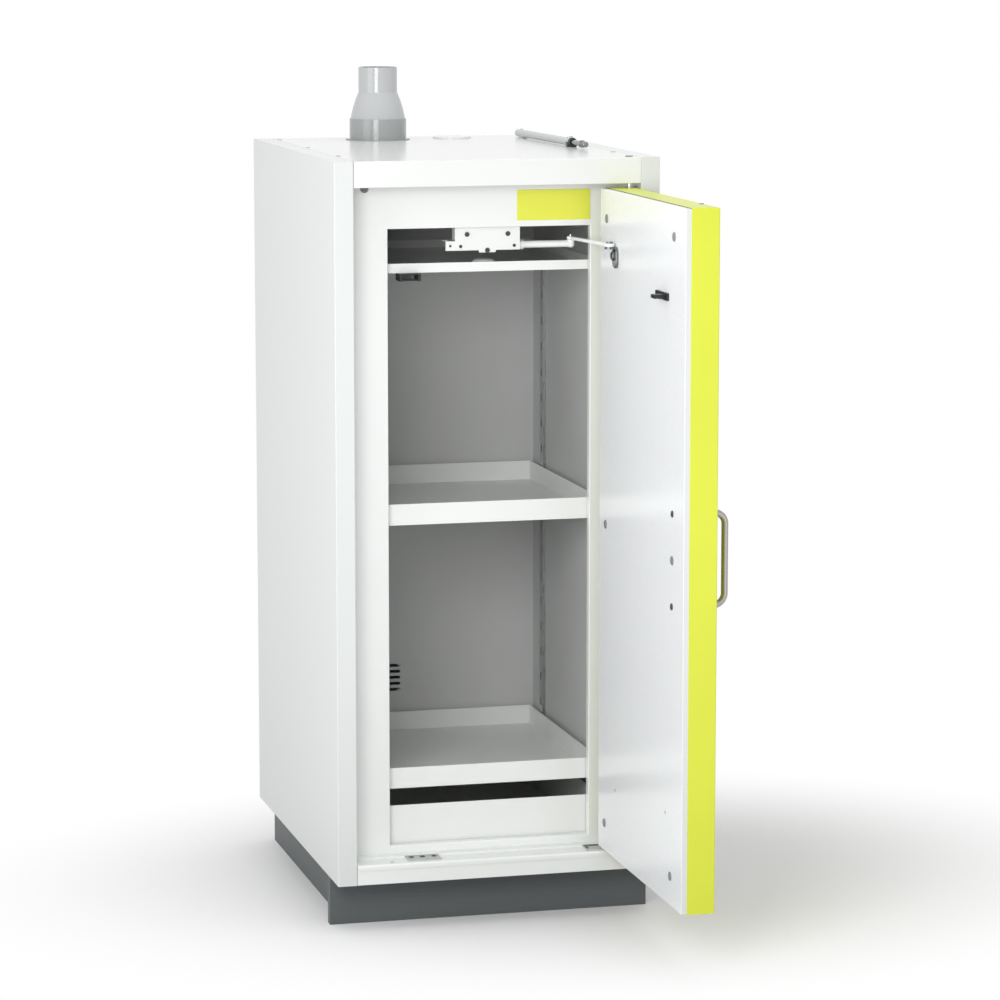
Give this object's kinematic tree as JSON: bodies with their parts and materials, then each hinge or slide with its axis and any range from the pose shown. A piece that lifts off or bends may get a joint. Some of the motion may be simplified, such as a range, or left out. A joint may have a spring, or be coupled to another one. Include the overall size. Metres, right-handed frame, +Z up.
{
  "type": "flammable safety cabinet",
  "caption": "Tall narrow fire-rated safety cabinet with a hinged insulated door, shelves, spill sump, closing stay, roof closer and roof exhaust collar.",
  "frame": {"origin": "centre of the cabinet's footprint on the floor, under the plinth's cross board", "axes": "+Z up, the front with the door looks along -Y, +X to the right as seen from the front"},
  "size_m": [0.603, 1.247, 1.54],
  "materials": {
    "white_board": "satin white melamine",
    "white_sheet": "satin white powder coat",
    "shelf_sheet": "satin off-white powder coat",
    "lime_pan": "satin lime yellow powder coat",
    "door_white": "smooth white laminate",
    "liner_white": "matt light grey-white laminate",
    "insulation": "raw mineral board",
    "plinth_grey": "dark grey laminate",
    "foot_black": "matt black",
    "pipe_grey": "smooth mid grey",
    "duct_zinc": "galvanised",
    "fitting_white": "white paint",
    "steel": "zinc-plated",
    "chrome": "polished",
    "dark_metal": "satin dark grey",
    "black_plastic": "satin black",
    "cap_grey": "matt grey",
    "strip_grey": "matt grey",
    "buffer_rubber": "matt grey"
  },
  "bodies": {
    "cabinet": {"side_panel_left": "white_board", "side_panel_right": "white_board", "roof_cover": "white_sheet", "sill": "white_sheet", "back_panel": "white_sheet", "base_panel": "white_sheet", "door_frame": "white_sheet", "plenum_panel": "shelf_sheet", "middle_shelf": "shelf_sheet", "lower_shelf": "shelf_sheet", "spill_sump": "shelf_sheet", "liner_left": "liner_white", "liner_right": "liner_white", "liner_top": "liner_white", "liner_floor": "liner_white", "liner_back": "liner_white", "insulation_left": "insulation", "insulation_right": "insulation", "insulation_top": "insulation", "insulation_bottom": "insulation", "insulation_back": "insulation", "plinth_front": "plinth_grey", "plinth_side_left": "plinth_grey", "plinth_side_right": "plinth_grey", "plinth_rear": "plinth_grey", "plinth_cross": "plinth_grey", "levelling_feet": "foot_black", "exhaust_collar": "pipe_grey", "exhaust_reducer": "pipe_grey", "exhaust_duct": "duct_zinc", "supply_duct": "duct_zinc", "inlet_cap": "duct_zinc", "stay_bracket": "fitting_white", "stay_closer_body": "fitting_white", "shelf_uprights": "steel", "shelf_clips": "steel", "stay_screws": "steel", "closer_cylinder": "steel", "lower_pivot": "steel", "upper_pivot": "steel", "sill_strike": "steel", "roof_screws": "steel", "keeper_roller": "steel", "closer_clamps": "dark_metal", "catch_keeper": "black_plastic", "intumescent_strips": "strip_grey", "door_buffer": "buffer_rubber"},
    "door": {"door_pan": "lime_pan", "door_core": "insulation", "door_inner_panel": "door_white", "door_caps": "cap_grey", "pivot_bushes": "steel", "door_handle": "chrome", "handle_bolts": "steel", "door_catch": "black_plastic", "stay_shoe": "dark_metal"},
    "stay_arm": {"stay_arm": "steel"},
    "stay_link": {"stay_link": "steel", "elbow_pin": "steel"},
    "closer_rod": {"closer_rod": "chrome"}
  },
  "joints": [
    {"name": "door_hinge", "type": "hinge", "parent": "cabinet", "child": "door", "pos_m": [0.246, -0.365, 0.737], "axis": [0, 0, 1], "range_deg": [-90, 0]},
    {"name": "stay_arm_hinge", "type": "hinge", "parent": "cabinet", "child": "stay_arm", "pos_m": [-0.03, -0.272, 1.239], "axis": [0, 0, 1], "range_deg": [0, 44.88]},
    {"name": "stay_link_hinge", "type": "hinge", "parent": "door", "child": "stay_link", "pos_m": [0.185, -0.447, 1.2493], "axis": [0, 0, 1], "range_deg": [0, 100.33]},
    {"name": "closer_slide", "type": "slide", "parent": "cabinet", "child": "closer_rod", "axis": [0.0436, -0.999, 0], "range_m": [-0.0551, 0]}
  ],
  "couplings": [
    {"joint": "stay_arm_hinge", "follows": "door_hinge", "ratio": -0.49808},
    {"joint": "stay_link_hinge", "follows": "door_hinge", "ratio": -1.1142},
    {"joint": "closer_slide", "follows": "door_hinge", "m_per_rad": 0.035014}
  ]
}
